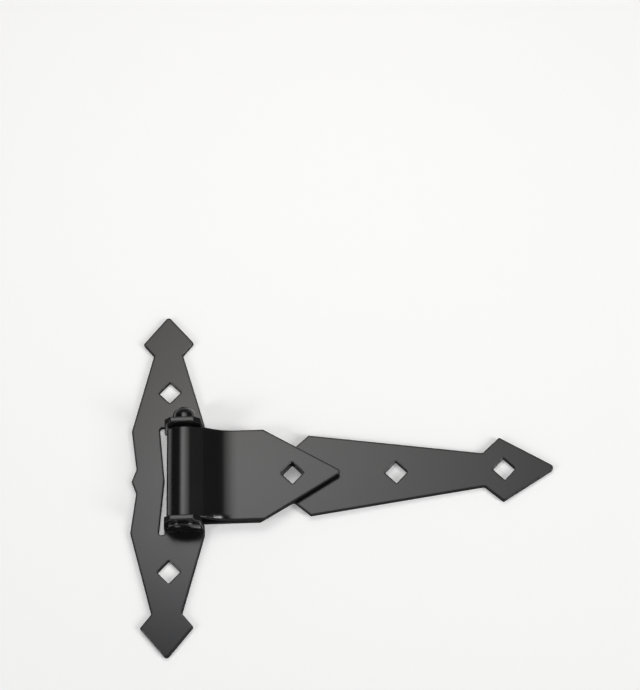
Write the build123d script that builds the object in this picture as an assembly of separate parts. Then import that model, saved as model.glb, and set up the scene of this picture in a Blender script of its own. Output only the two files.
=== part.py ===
from build123d import *
import math
import os

os.makedirs("parts", exist_ok=True)

# Sheet steel, its rolled edges and its square bolt holes
sheet = 3.0
edge_round = 0.5
hole_side = 8.8
hole_corner = 0.6

# Pin: a rivet, its distance from the plate's centre line and its fit in the barrel
pin_diameter = 12.7
pin_fit = 0.15
pin_x = 10.3
barrel_lift = 3.5
head_overhang = 2.65
head_rim = 1.2
head_dome = 1.8
head_round = 0.8
nub_height = 9.4
nub_round = 5.2

# Post plate outline, from its centre, the same above and below
plate_tip = 98.5
plate_tip_round = 1.8
shoulder_half = 14.45
shoulder_up = 81.6
neck_half = 8.3
neck_up = 74.25
widest_half = 20.3
widest_up = 29.3
side_notch = 17.35
side_notch_up = 6.9
side_point = 20.05
side_point_round = 0.8
plate_corner = 1.0
bolt_offset = 1.0
post_bolt_up = 51.6

# Ears lanced from the plate's window and bent up
ear_inside = 26.1
ear_over_pin = 13.4
ear_base_half = 10.2
ear_flare = 1.6
ear_side_half = 9.8
ear_flat_half = 6.5
ear_chamfer = 4.1
ear_corner = 1.0
ear_foot_round = 20.0
ear_foot_up = 2.0
bend = 0.8
straight_edge = 1.8
straight_edge_round = 6.0
slot_depth = 0.9
slot_length = 3.25
slot_round = 1.5
window_vee = 1.85
window_vee_round = 4.0

# Gate strap, measured from the pin axis
side_play = 0.5
lower_play = 0.05
leaf_gap = 2.0
crown_angle = 22.0
crown_end = 11.0
crown_round = 7.0
fall_angle = 36.0
fall_sweep = 24.0
flat_run = 6.0
back_corner = 41.1
strap_notch = 59.5
strap_notch_half = 15.1
strap_shoulder = 68.65
strap_shoulder_half = 22.95
strap_neck = 164.6
strap_neck_half = 9.55
barb = 174.5
barb_half = 18.3
strap_tip = 205.05
strap_tip_round = 2.2
strap_corner = 0.8
strap_hollow = 2.0
leaf_corner = 43.6
leaf_tip = 86.8
leaf_tip_round = 1.7
first_bolt = 59.15
middle_bolt = 116.3
last_bolt = 175.95

# Worked out from the sizes above
pin_radius = pin_diameter / 2
barrel_inside = pin_radius + pin_fit
barrel_outside = barrel_inside + sheet
pin_z = barrel_lift + barrel_outside
ear_outside = ear_inside + sheet
ear_top = pin_z + ear_over_pin
bend_line = ear_outside + bend
slot_end = bend_line + slot_depth
leaf_half = ear_inside - side_play
through = 2 * strap_tip


def rounded(face, rounds):
    """A flat face with its corners rounded off: rounds pairs a radius with the corners that have it."""
    for radius, corners in rounds:
        picked = [min(face.vertices(), key=lambda v: (Vector(v) - Vector(*c)).length) for c in corners]
        face = fillet(picked, radius)
    return face


def outline(points, rounds):
    """A flat outline through the points, with its corners rounded off."""
    return rounded(make_face(Polyline(*points, close=True)), rounds)


def below(points):
    """The points' mirror images across the X axis, in the reverse order."""
    return [(x, -y) for x, y in reversed(points)]


def square_hole(x, y):
    """A square carriage bolt hole set on its corner."""
    hole = RectangleRounded(hole_side, hole_side, hole_corner, rotation=45)
    return Pos(x, y) * extrude(hole, through, both=True)


def rolled(solid):
    """The sheet with every stamped edge rolled over, as its coating leaves it."""
    sides = {}
    for face in solid.faces():
        for edge in face.edges():
            sides.setdefault(edge, []).append(face)
    stamped = []
    for edge, faces in sides.items():
        middle = edge.position_at(0.5)
        if len(faces) == 2 and faces[0].normal_at(middle).dot(faces[1].normal_at(middle)) < 0.9:
            stamped.append(edge)
    return solid.fillet(edge_round, stamped)


# Post plate: one stamped sheet, pointed at both ends, with a window open to the right
ear_left = pin_x - ear_base_half - ear_flare
ear_right = pin_x + ear_base_half
tip = (0, plate_tip)
shoulders = [(shoulder_half, shoulder_up), (neck_half, neck_up)]
edge_bend = (ear_right, bend_line + straight_edge)
slot_right_corner = (ear_left, slot_end)
slot_left_corner = (ear_left - slot_length, slot_end)
right_side = shoulders + [edge_bend, (ear_right, bend_line), (ear_left, bend_line)]
right_side += [slot_right_corner, slot_left_corner]
left_shoulders = [(-neck_half, neck_up), (-shoulder_half, shoulder_up)]
left_widest = (-widest_half, widest_up)
left_notch = (-side_notch, side_notch_up)
left_side = [left_notch, left_widest] + left_shoulders
plate_points = [tip] + right_side + [(-window_vee, 0)] + below(right_side) + below([tip])
plate_points += below(left_side) + [(-side_point, 0)] + left_side
corners = shoulders + left_shoulders + [left_widest]
flat = outline(
    plate_points,
    [
        (plate_tip_round, [tip] + below([tip])),
        (plate_corner, corners + below(corners)),
        (side_point_round, [left_notch, (-side_point, 0)] + below([left_notch])),
        (hole_corner, [slot_right_corner] + below([slot_right_corner])),
        (straight_edge_round, [edge_bend] + below([edge_bend])),
        (slot_round, [slot_left_corner] + below([slot_left_corner])),
        (window_vee_round, [(-window_vee, 0)]),
    ],
)

# Each ear is bent up through a right angle, as high as the barrel needs
turn = sheet + bend
ear_profile = make_face(
    Line((bend_line, 0), (bend_line, sheet))
    + CenterArc((bend_line, turn), bend, 270, -90)
    + Polyline((ear_outside, turn), (ear_outside, ear_top), (ear_inside, ear_top), (ear_inside, turn))
    + CenterArc((bend_line, turn), turn, 180, 90)
)
ear_feet = [(foot, turn + ear_foot_up) for foot in (ear_left, ear_right)]
ear_sides = [(pin_x + side * ear_side_half, ear_top - ear_chamfer) for side in (-1, 1)]
ear_flats = [(pin_x + side * ear_flat_half, ear_top) for side in (-1, 1)]
ear_front = outline(
    [
        (ear_left, -sheet),
        ear_feet[0],
        ear_sides[0],
        ear_flats[0],
        ear_flats[1],
        ear_sides[1],
        ear_feet[1],
        (ear_right, -sheet),
    ],
    [(ear_corner, ear_sides + ear_flats), (ear_foot_round, ear_feet)],
)
ear = extrude(Plane.YZ * ear_profile, through, both=True) & extrude(Plane.XZ * ear_front, through, both=True)
plate = extrude(flat, sheet) + ear + mirror(ear, Plane.XZ)
for side in (1, -1):
    plate -= square_hole(bolt_offset, side * post_bolt_up)
plate = rolled(plate.clean().solid())
plate -= Pos(pin_x, 0, pin_z) * Rot(90, 0, 0) * Cylinder(pin_radius, through)

# Hinge pin: a solid rivet with a low domed head under the lower ear and a rounded end over the upper one
nub_end = ear_outside + nub_height
head_radius = pin_radius + head_overhang
rim_end = -ear_outside - head_rim
head_end = rim_end - head_dome
dome_radius = (head_radius**2 + head_dome**2) / (2 * head_dome)
half_way = math.asin(head_radius / dome_radius) / 2
dome_middle = (dome_radius * math.sin(half_way), head_end + dome_radius * (1 - math.cos(half_way)))
pin_side = [
    (0, head_end),
    (0, nub_end),
    (pin_radius, nub_end),
    (pin_radius, -ear_outside),
    (head_radius, -ear_outside),
    (head_radius, rim_end),
]
pin_face = rounded(
    make_face(Polyline(*pin_side) + ThreePointArc(pin_side[-1], dome_middle, pin_side[0])),
    [(nub_round, [(pin_radius, nub_end)]), (head_round, [(head_radius, rim_end)])],
)
pin = Pos(pin_x, 0, pin_z) * revolve(pin_face, Axis.Y)

# Gate strap: one sheet wrapped round the pin, ending in a short pointed leaf over the strap
under = -barrel_outside
leaf_under = under + sheet + leaf_gap
middle_radius = barrel_inside + sheet / 2
leaf_middle = leaf_under + sheet / 2
crown = math.radians(crown_angle)
fall = math.radians(fall_angle)
crown_x = middle_radius * math.sin(crown)
crown_z = middle_radius * math.cos(crown)
crown_drop = (crown_end - crown_x) * math.tan(crown)
fall_start = (crown_end, crown_z - crown_drop)
fall_run = (fall_start[1] - leaf_middle) / math.tan(fall)
fall_end = (crown_end + fall_run, leaf_middle)
wrap_end = fall_end[0] + fall_sweep * math.tan(fall / 2) + flat_run

# The middle line of the sheet: under the pin, round it, over the crown, down the fall and out along the leaf
wrap_line = (
    Line((wrap_end, -middle_radius), (0, -middle_radius))
    + ThreePointArc((0, -middle_radius), (-middle_radius, 0), (crown_x, crown_z))
    + FilletPolyline(
        (crown_x, crown_z), fall_start, fall_end, (wrap_end, leaf_middle), radius=[crown_round, fall_sweep]
    )
)
wrap = extrude(Plane.XZ * trace(wrap_line, sheet), leaf_half, both=True)

back_corners = [(back_corner, leaf_half), (strap_shoulder, strap_shoulder_half), (barb, barb_half)]
back_hollows = [(strap_notch, strap_notch_half), (strap_neck, strap_neck_half)]
back_side = [(wrap_end, leaf_half)] + sorted(back_corners + back_hollows)
strap_end = (strap_tip, 0)
back_leaf = outline(
    back_side + [strap_end] + below(back_side),
    [
        (strap_tip_round, [strap_end]),
        (strap_hollow, back_hollows + below(back_hollows)),
        (strap_corner, back_corners + below(back_corners)),
    ],
)
front_side = [(wrap_end, leaf_half), (leaf_corner, leaf_half)]
leaf_end = (leaf_tip, 0)
front_leaf = outline(
    front_side + [leaf_end] + below(front_side),
    [(leaf_tip_round, [leaf_end]), (strap_corner, front_side[1:] + below(front_side[1:]))],
)
strap = wrap + Pos(0, 0, under) * extrude(back_leaf, sheet)
strap += Pos(0, 0, leaf_under) * extrude(front_leaf, sheet)
for along in (first_bolt, middle_bolt, last_bolt):
    strap -= square_hole(along, 0)
strap = rolled(strap.clean().solid())

# The strap sits on the lower ear and leans until the underside of its tip lies in the mounting plane
tip_angle = math.atan2(barb_half, strap_tip - barb)
reach = strap_tip + strap_tip_round - strap_tip_round / math.sin(tip_angle)
lean = math.asin(pin_z / math.hypot(barrel_outside, reach)) - math.atan2(barrel_outside, reach)
strap = Pos(pin_x, lower_play - side_play, pin_z) * Rot(0, math.degrees(lean), 0) * strap

# The line through the two post bolts is the datum of the whole hinge
datum = Pos(-bolt_offset, 0, 0)
export_step(datum * plate, "parts/post_plate.step")
export_step(datum * pin, "parts/hinge_pin.step")
export_step(datum * strap, "parts/gate_strap.step")
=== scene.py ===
import math
import bpy
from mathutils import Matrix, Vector

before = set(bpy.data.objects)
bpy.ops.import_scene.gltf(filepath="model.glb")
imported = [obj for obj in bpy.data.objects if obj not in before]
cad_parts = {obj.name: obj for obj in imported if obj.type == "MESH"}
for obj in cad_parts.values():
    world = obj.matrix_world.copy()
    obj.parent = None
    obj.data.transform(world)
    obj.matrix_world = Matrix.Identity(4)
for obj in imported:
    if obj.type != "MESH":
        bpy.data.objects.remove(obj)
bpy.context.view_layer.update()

# Post plate: one stamped steel sheet, pointed at both ends, with two ears bent up out of its window.
# It is powder coated black after stamping, so the coat runs over the rolled edges and into the holes.
# The coat is semi-gloss, with a faint orange peel, and it is thin and dull where the sheet was sheared.
black_coat = (0.0074, 0.0074, 0.0077, 1.0)
hazy_coat = (0.0100, 0.0098, 0.0096, 1.0)
haze_scale = 45.0
grain_scale = 2600.0
peel_scale = 700.0
peel_depth = 0.000003
coat_flow = 0.0013
flow_samples = 6
coat_ior = 1.5
haze_roughness = 0.04
grain_roughness = 0.02
semi_gloss = 0.18
dull_roughness = 0.65
dull_grain = 0.2
dull_specular = 0.06
no_shift = (0.0, 0.0, 0.0)

# How flat a face lies, from an edge to the sheet, how far an ear's face looks sideways,
# and the heights between which the ears rise
edge_to_sheet = (0.25, 0.75)
ear_sideways = (0.35, 0.75)
ear_rise = (0.0036, 0.0060)


class Field:
    """A node socket: arithmetic on it adds the Math nodes that work the sum out."""

    def __init__(self, tree, socket=None):
        self.tree = tree
        self.socket = socket

    def node(self, kind, settings, sockets, output=0):
        """Adds a node of any kind, with its settings first and then the values or links of its sockets."""
        made = self.tree.nodes.new("ShaderNode" + kind)
        for name, value in settings.items():
            setattr(made, name, value)
        for name, value in sockets.items():
            if isinstance(value, Field):
                self.tree.links.new(value.socket, made.inputs[name])
            else:
                made.inputs[name].default_value = value
        return Field(self.tree, made.outputs[output] if made.outputs else None)

    def math(self, operation, first, second):
        return self.node("Math", {"operation": operation}, {0: first, 1: second})

    def __add__(self, other):
        return self.math("ADD", self, other)

    def __radd__(self, other):
        return self.math("ADD", other, self)

    def __sub__(self, other):
        return self.math("SUBTRACT", self, other)

    def __rsub__(self, other):
        return self.math("SUBTRACT", other, self)

    def __mul__(self, other):
        return self.math("MULTIPLY", self, other)

    def __rmul__(self, other):
        return self.math("MULTIPLY", other, self)

    def __abs__(self):
        return self.math("ABSOLUTE", self, 0.0)

    def part(self, axis):
        """The X, Y or Z of a vector."""
        return self.node("SeparateXYZ", {}, {"Vector": self}, axis)

    def step(self, low, high):
        """Rises smoothly from 0 at low to 1 at high."""
        ends = {"From Min": low, "From Max": high, "To Min": 0.0, "To Max": 1.0}
        return self.node("MapRange", {"interpolation_type": "SMOOTHSTEP"}, {"Value": self, **ends})

    def blend(self, first, second):
        """The first colour where this is 0, and the second where it is 1."""
        return self.node("Mix", {"data_type": "RGBA"}, {"Factor": self, "A": first, "B": second}, "Result")


def emptied(owner):
    """A start for the nodes of a material, world or lamp, whose own nodes are cleared away."""
    owner.use_nodes = True
    owner.node_tree.nodes.clear()
    return Field(owner.node_tree)


def powder_coat(name, shift, roughness, sheared=None, drawn=None, depth=0.0):
    """Black powder coat, its pattern shifted so that no two pieces have the same.

    On sheet, sheared works out where the sheared edges are, from the place on the piece and the way that
    its surface faces. Where a bend has drawn the sheet's edge down, drawn works out the shape of that, and
    depth is how deep it goes.
    """
    coat = bpy.data.materials.new(name)
    start = emptied(coat)
    surface = start.node("TexCoord", {}, {}, "Object")
    spot = start.node("Mapping", {}, {"Vector": surface, "Location": shift})
    haze = start.node("TexNoise", {}, {"Vector": spot, "Scale": haze_scale, "Detail": 2.0})
    grain = start.node("TexNoise", {}, {"Vector": spot, "Scale": grain_scale, "Detail": 1.0})
    peel = start.node("TexNoise", {}, {"Vector": spot, "Scale": peel_scale, "Detail": 1.0})
    black = haze.blend(black_coat, hazy_coat)
    flow = start.node("Bevel", {"samples": flow_samples}, {"Radius": coat_flow})
    if drawn:
        draw = {"Height": drawn(surface), "Strength": 1.0, "Distance": depth, "Normal": flow}
        flow = start.node("Bump", {}, draw)
    bumps = start.node("Bump", {}, {"Height": peel, "Strength": 1.0, "Distance": peel_depth, "Normal": flow})
    paint = start.node(
        "BsdfPrincipled",
        {},
        {
            "Base Color": black,
            "Roughness": roughness + haze_roughness * haze + grain_roughness * (grain - 0.5),
            "IOR": coat_ior,
            "Normal": bumps,
        },
    )
    if sheared:
        edge = sheared(surface, start.node("TexCoord", {}, {}, "Normal"))
        dull = start.node(
            "BsdfPrincipled",
            {},
            {
                "Base Color": black,
                "Roughness": dull_roughness + dull_grain * grain,
                "Specular IOR Level": dull_specular,
                "Normal": bumps,
            },
        )
        paint = start.node("MixShader", {}, {0: edge, 1: paint, 2: dull})
    start.node("OutputMaterial", {}, {"Surface": paint})
    return coat


def plate_edges(surface, facing):
    """The upright faces of the flat sheet, and the left and right sides of the ears."""
    flat_edges = 1 - abs(facing.part("Z")).step(*edge_to_sheet)
    ear_edges = abs(facing.part("X")).step(*ear_sideways)
    ears = surface.part("Z").step(*ear_rise)
    return ears * ear_edges + (1 - ears) * flat_edges


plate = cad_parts["post_plate"]
plate.material_slots[0].material = powder_coat("plate_coat", no_shift, semi_gloss, plate_edges)

# Hinge pin: a solid steel rivet through both ears, with a low domed head below and a rounded end above.
# It is tight in the ears and was coated with them, and on its smooth round steel the coat is glossier.
pin_gloss = 0.07
pin_shift = (0.31, 0.12, 0.0)
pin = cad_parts["hinge_pin"]
pin.material_slots[0].material = powder_coat("pin_coat", pin_shift, pin_gloss)

# Gate strap: one long stamped steel sheet, wrapped round the pin as a barrel and swept down to a short
# pointed leaf over the strap. It has the same coat as the plate.
# The tight bend has drawn its lower edge down a little.
strap_shift = (0.0, 0.47, 0.23)
strap_flat = (0.027, 0.031)

# The drawn edge: where it starts and ends along the strap, how fast it comes and goes, how far it
# reaches across, the heights between which the bend's upper face begins, the draw's curve and its depth
bend_start = 0.0225
bend_end = 0.037
draw_in = 0.003
draw_out = 0.008
draw_inner = -0.0228
draw_outer = -0.0261
upper_face = (0.007, 0.009)
draw_curve = 1.5
draw_depth = 0.0008


def strap_edges(surface, facing):
    """The upright faces of the flat strap and leaf, and the end faces of the barrel and its bend."""
    flat_edges = 1 - abs(facing.part("Z")).step(*edge_to_sheet)
    barrel_ends = abs(facing.part("Y")).step(*edge_to_sheet)
    flat = surface.part("X").step(*strap_flat)
    return flat * flat_edges + (1 - flat) * barrel_ends


def strap_draw(surface):
    """Falls from 0 to -1 at the lower edge of the bend's upper face."""
    along, across, up = (surface.part(axis) for axis in "XYZ")
    bent = along.step(bend_start, bend_start + draw_in) * (1 - along.step(bend_end - draw_out, bend_end))
    reach = surface.node("MapRange", {}, {"Value": across, "From Min": draw_inner, "From Max": draw_outer})
    return -1 * bent * up.step(*upper_face) * surface.math("POWER", reach, draw_curve)


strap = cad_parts["gate_strap"]
strap.material_slots[0].material = powder_coat(
    "strap_coat", strap_shift, semi_gloss, strap_edges, strap_draw, draw_depth
)

# Table: a plain white matt sheet, large enough to reach the edge of every view.
# It glows a little to the eye and in reflections, and more far away, where the lamps don't reach.
table_size = 60.0
table_height = -0.00002
table_white = (0.9, 0.9, 0.895, 1.0)
near_glow = (0.25, 0.25, 0.25, 1.0)
far_glow = (0.90, 0.90, 0.90, 1.0)
glow_spread = (0.8, 2.6)
bpy.ops.mesh.primitive_plane_add(size=table_size, location=(0, 0, table_height))
table = bpy.context.object
table.name = "table"
matt_white = bpy.data.materials.new("table_white")
top = emptied(matt_white)
matt = top.node("BsdfDiffuse", {}, {"Color": table_white})
seen = top.node("LightPath", {}, {}, "Is Camera Ray") + top.node("LightPath", {}, {}, "Is Glossy Ray")
seen = seen + top.node("LightPath", {}, {}, "Is Transmission Ray")
spread = top.node("TexCoord", {}, {}, "Object")
away = top.node("VectorMath", {"operation": "LENGTH"}, {"Vector": spread}, "Value")
pale = away.step(*glow_spread).blend(near_glow, far_glow)
lit = top.node("Emission", {}, {"Color": pale, "Strength": seen})
top.node("OutputMaterial", {}, {"Surface": top.node("AddShader", {}, {0: matt, 1: lit})})
table.data.materials.append(matt_white)

# Room: dark overhead, with a glow along the horizon and soft ones low down in front and behind.
# Each glow is a strength and the stretch of the ray's direction over which it fades.
room_white = (1.0, 1.0, 1.0, 1.0)
room_glow = 0.02
horizon_glow, horizon_fade = 0.5, (0.0, 0.12)
front_glow, front_fade, front_top = 0.45, (-0.45, -0.15), (0.35, 0.80)
behind_glow, behind_fade, behind_top = 0.22, (0.45, 0.65), (0.45, 0.75)
studio = bpy.data.worlds.new("studio")
bpy.context.scene.world = studio
sky = emptied(studio)
ray = sky.node("TexCoord", {}, {}, "Generated")
ray_back, ray_up = ray.part("Y"), ray.part("Z")
horizon = 1 - ray_up.step(*horizon_fade)
front = (1 - ray_back.step(*front_fade)) * (1 - ray_up.step(*front_top))
behind = ray_back.step(*behind_fade) * (1 - ray_up.step(*behind_top))
glow = room_glow + horizon_glow * horizon + front_glow * front + behind_glow * behind
backdrop = sky.node("Background", {}, {"Color": room_white, "Strength": glow})
sky.node("OutputWorld", {}, {"Surface": backdrop})


def area_lamp(name, place, target, width, depth, radiance):
    """An area lamp at a place, facing a target, of the given radiance over its whole face."""
    data = bpy.data.lights.new(name, "AREA")
    data.shape = "RECTANGLE"
    data.size = width
    data.size_y = depth
    data.energy = math.pi * width * depth * radiance
    lamp = bpy.data.objects.new(name, data)
    bpy.context.scene.collection.objects.link(lamp)
    lamp.location = place
    lamp.rotation_euler = (Vector(target) - Vector(place)).to_track_quat("-Z", "Y").to_euler()
    return lamp


# Overhead panel: a wide soft box that faces down. It is brightest on its left and falls off to the right.
# It fades out at its four sides, has a dimmer stretch at the back and is a little cooler in front.
panel_x, panel_y, panel_height = 0.12, 0.22, 0.70
panel_width = 1.0
panel_depth = 0.64
panel_radiance = 3.95
right_loss, right_fall = 0.76, (-0.09, 0.50)
left_side, right_side = (-0.33, -0.04), (0.43, 0.54)
front_side, back_side = (-0.05, 0.20), (0.42, 0.52)
back_loss, back_fall = 0.3, (0.25, 0.33)
cool_white = (0.975, 0.985, 1.03, 1.0)
warm_white = (1.03, 1.0, 0.965, 1.0)
cool_to_warm = (0.02, 0.36)
panel_place = (panel_x, panel_y, panel_height)
panel = area_lamp("overhead_panel", panel_place, (panel_x, panel_y, 0.0), panel_width, panel_depth, 1.0)
face = emptied(panel.data)
point = face.node("NewGeometry", {}, {}, "Position")
right, back = point.part("X"), point.part("Y")
fall = panel_radiance * (1 - right_loss * right.step(*right_fall))
sides = right.step(*left_side) * (1 - right.step(*right_side))
ends = back.step(*front_side) * (1 - back_loss * back.step(*back_fall)) * (1 - back.step(*back_side))
tint = back.step(*cool_to_warm).blend(cool_white, warm_white)
shine = face.node("Emission", {}, {"Color": tint, "Strength": fall * sides * ends})
face.node("OutputLight", {}, {"Surface": shine})

# Side lamps: soft boxes on stands, a larger one on the right and a smaller one on the left.
# They stand low and a little in front, and give the hinge its soft shadows.
middle = Vector((0.09, 0.0, 0.0))
lamp_reach = 2.5
lamp_radiance = 14.0
lamp_out, lamp_back, lamp_up = 0.72, -0.32, 0.58
for name, side, width, depth in (("right_lamp", 1, 0.52, 1.22), ("left_lamp", -1, 0.35, 0.85)):
    place = middle + lamp_reach * Vector((side * lamp_out, lamp_back, lamp_up)).normalized()
    area_lamp(name, place, middle, width, depth, lamp_radiance)

# Camera: above the table, in front of the hinge's lower end, looking down at it.
# It stands to the right of the post plate, so that the hinge fills the lower left of the picture.
camera_lens = 78.26
camera_place = (0.09493, -0.24193, 0.79893)
camera_turn = (21.8240, 1.3577, -1.7477)
camera_data = bpy.data.cameras.new("camera")
camera_data.lens = camera_lens
camera = bpy.data.objects.new("camera", camera_data)
bpy.context.scene.collection.objects.link(camera)
camera.location = camera_place
camera.rotation_euler = [math.radians(turn) for turn in camera_turn]
bpy.context.scene.camera = camera
bpy.context.scene.view_settings.view_transform = "Standard"
